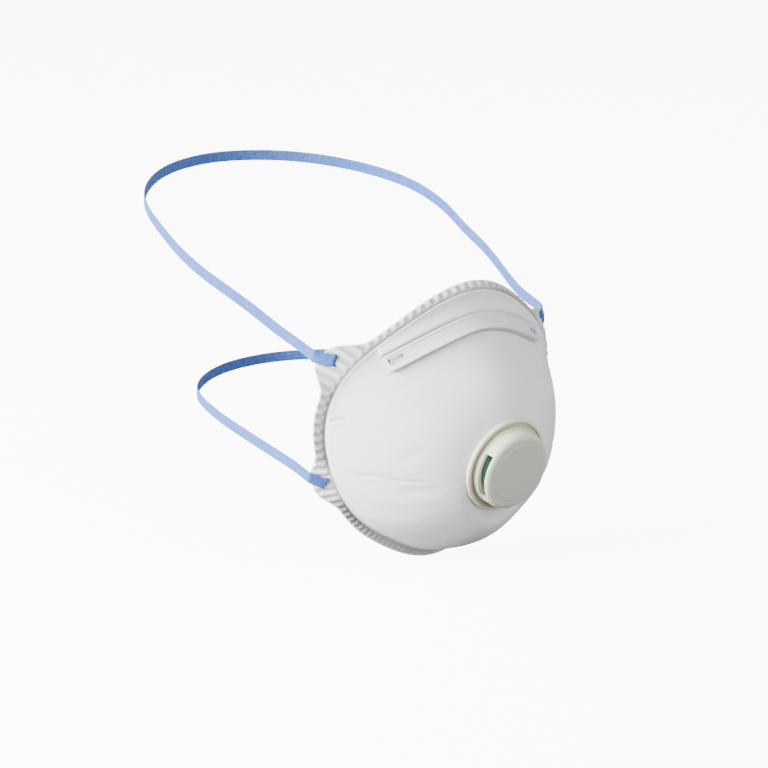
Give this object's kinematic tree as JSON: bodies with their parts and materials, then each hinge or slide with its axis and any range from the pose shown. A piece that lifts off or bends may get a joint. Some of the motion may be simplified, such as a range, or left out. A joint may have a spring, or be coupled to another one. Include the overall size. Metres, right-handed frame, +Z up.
{
  "type": "disposable dust mask",
  "caption": "Moulded cup dust mask with a ribbed flange, slit strap tabs, a bendable nose clip, an exhalation valve and an elastic head strap.",
  "frame": {"origin": "middle of the face opening, in the plane of symmetry, half way between the rim at the nose and the rim at the chin", "axes": "+Y towards the face that wears the mask, +X to the wearer's left, +Z up; the valve faces -Y and a little down"},
  "size_m": [0.1486, 0.2191, 0.1528],
  "materials": {
    "outer_shell": "matt thermoformed nonwoven",
    "filter_layer": "soft melt-blown fleece",
    "inner_lining": "soft nonwoven",
    "nose_clip_strip": "satin moulded plastic",
    "nose_clip_core": "soft annealed strip",
    "nose_foam_pad": "open-cell foam",
    "valve_seat": "satin moulded plastic",
    "valve_disc": "thin silicone",
    "valve_cover": "satin moulded plastic",
    "valve_clamp_ring": "satin moulded plastic",
    "elastic": "flat knitted elastic"
  },
  "bodies": {
    "mask": {"outer_shell": "outer_shell", "filter_layer": "filter_layer", "inner_lining": "inner_lining", "nose_clip_strip": "nose_clip_strip", "nose_clip_core": "nose_clip_core", "nose_foam_pad": "nose_foam_pad", "valve_seat": "valve_seat", "valve_cover": "valve_cover", "valve_clamp_ring": "valve_clamp_ring", "strap_run_right": "elastic", "strap_run_left": "elastic"},
    "exhale_disc": {"valve_disc": "valve_disc"},
    "upper_head_strap": {"upper_strap": "elastic"},
    "lower_neck_strap": {"lower_strap": "elastic"}
  },
  "joints": [
    {"name": "valve_disc_lift", "type": "slide", "parent": "mask", "child": "exhale_disc", "axis": [0, -0.9816, -0.1908], "range_m": [0, 0.0012], "stiffness_N_per_m": 20, "springref_m": -0.0005},
    {"name": "upper_strap_swing", "type": "hinge", "parent": "mask", "child": "upper_head_strap", "pos_m": [0, 0.0152, 0.0383], "axis": [1, 0, 0], "range_deg": [0, 60]},
    {"name": "lower_strap_swing", "type": "hinge", "parent": "mask", "child": "lower_neck_strap", "pos_m": [0, 0.0178, -0.0131], "axis": [1, 0, 0], "range_deg": [0, 25]}
  ]
}
